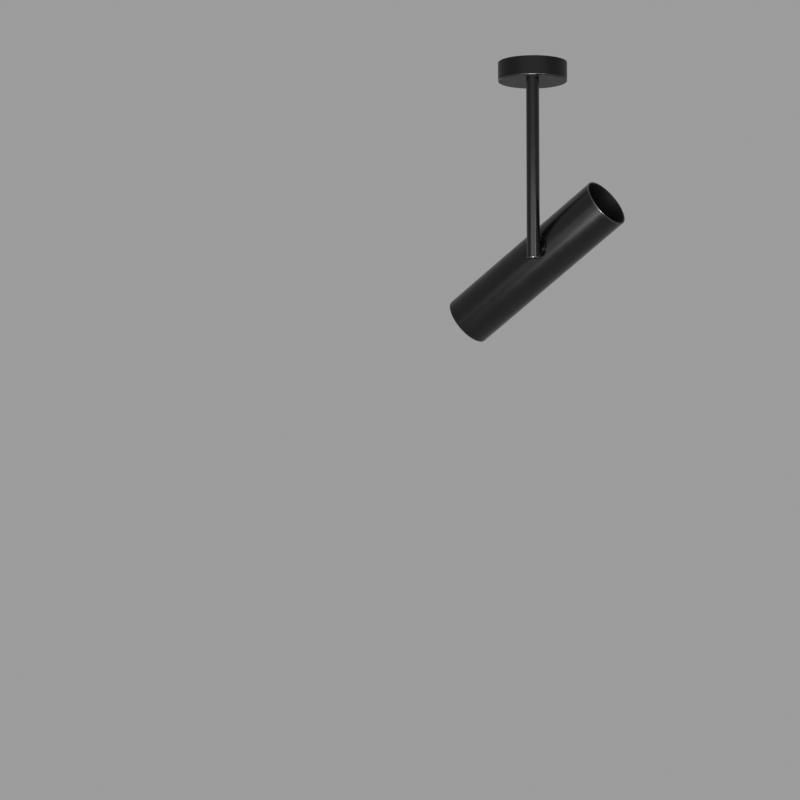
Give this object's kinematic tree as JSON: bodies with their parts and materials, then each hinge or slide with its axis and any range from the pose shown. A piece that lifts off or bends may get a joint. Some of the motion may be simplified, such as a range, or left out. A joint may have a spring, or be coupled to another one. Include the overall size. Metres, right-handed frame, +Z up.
{
  "type": "ceiling spotlight",
  "caption": "Ceiling spotlight: round canopy, straight stem that turns in it, and a long open-ended tube head that tilts on a hollow pin beside the stem's end.",
  "frame": {"origin": "middle of the round canopy in the plane of the ceiling, where the bracket and the canopy's rim meet it", "axes": "+Z up into the ceiling, +X to the viewer's right along the bracket's two slots, +Y away from the viewer; the stem hangs on the -Y side and the head is stored panned by -34 degrees and tilted by 58 degrees, as pictured"},
  "size_m": [0.2025, 0.1605, 0.3174],
  "materials": {
    "black_steel": "satin",
    "black_aluminium": "satin",
    "black_screw": "satin",
    "zinc_steel": "satin",
    "spring_steel": "satin",
    "brass": "satin",
    "nickel_brass": "satin",
    "white_nylon": "matte",
    "friction_plastic": "matte",
    "holder_ceramic": "matte",
    "lamp_plastic": "gloss",
    "lens": "gloss",
    "led": "satin",
    "black_rubber": "matte",
    "lead_sheath": "satin",
    "core_insulation": "satin",
    "earth_insulation": "satin"
  },
  "bodies": {
    "root": {"canopy": "black_steel", "canopy_cores": "core_insulation", "canopy_grub_screws": "black_screw", "canopy_lead": "lead_sheath", "ceiling_bracket": "zinc_steel", "cord_grip": "white_nylon", "cord_grip_screws": "zinc_steel", "pan_bush": "friction_plastic", "pan_stop_pin": "spring_steel", "pan_washer": "friction_plastic", "terminal_block": "white_nylon", "terminal_block_screws": "zinc_steel", "terminal_screws": "zinc_steel", "terminal_sleeves": "brass"},
    "stem": {"stem_tube": "black_steel", "stem_spigot": "zinc_steel", "pan_stop_washer": "zinc_steel", "pan_spring_washer": "spring_steel", "pan_nut": "zinc_steel", "stem_core": "zinc_steel", "swivel_pin": "zinc_steel", "swivel_collar": "black_steel", "outer_friction_washer": "friction_plastic", "inner_friction_washer": "friction_plastic", "tilt_spring_washer": "spring_steel", "tilt_stop_washer": "zinc_steel", "tilt_nut": "zinc_steel", "stem_lead": "lead_sheath"},
    "head": {"head_tube": "black_aluminium", "joint_seat": "black_aluminium", "tilt_stop_pins": "spring_steel", "rear_partition": "black_steel", "lamp_carrier": "black_steel", "lead_grommet": "black_rubber", "lampholder": "holder_ceramic", "lampholder_screws": "zinc_steel", "earth_screw": "brass", "earth_eyelet": "brass", "lamp_body": "lamp_plastic", "lamp_lens": "lens", "lamp_led": "led", "lamp_pins": "nickel_brass", "trim_ring": "black_aluminium", "head_lead": "lead_sheath", "holder_cores": "core_insulation", "earth_core": "earth_insulation"}
  },
  "joints": [
    {"name": "pan", "type": "hinge", "parent": "root", "child": "stem", "pos_m": [0, -0.026, -0.0225], "axis": [0, 0, 1], "range_deg": [-134, 202]},
    {"name": "tilt", "type": "hinge", "parent": "stem", "child": "head", "pos_m": [0, -0.026, -0.218], "axis": [0.5592, 0.829, 0], "range_deg": [-148, 32]}
  ]
}
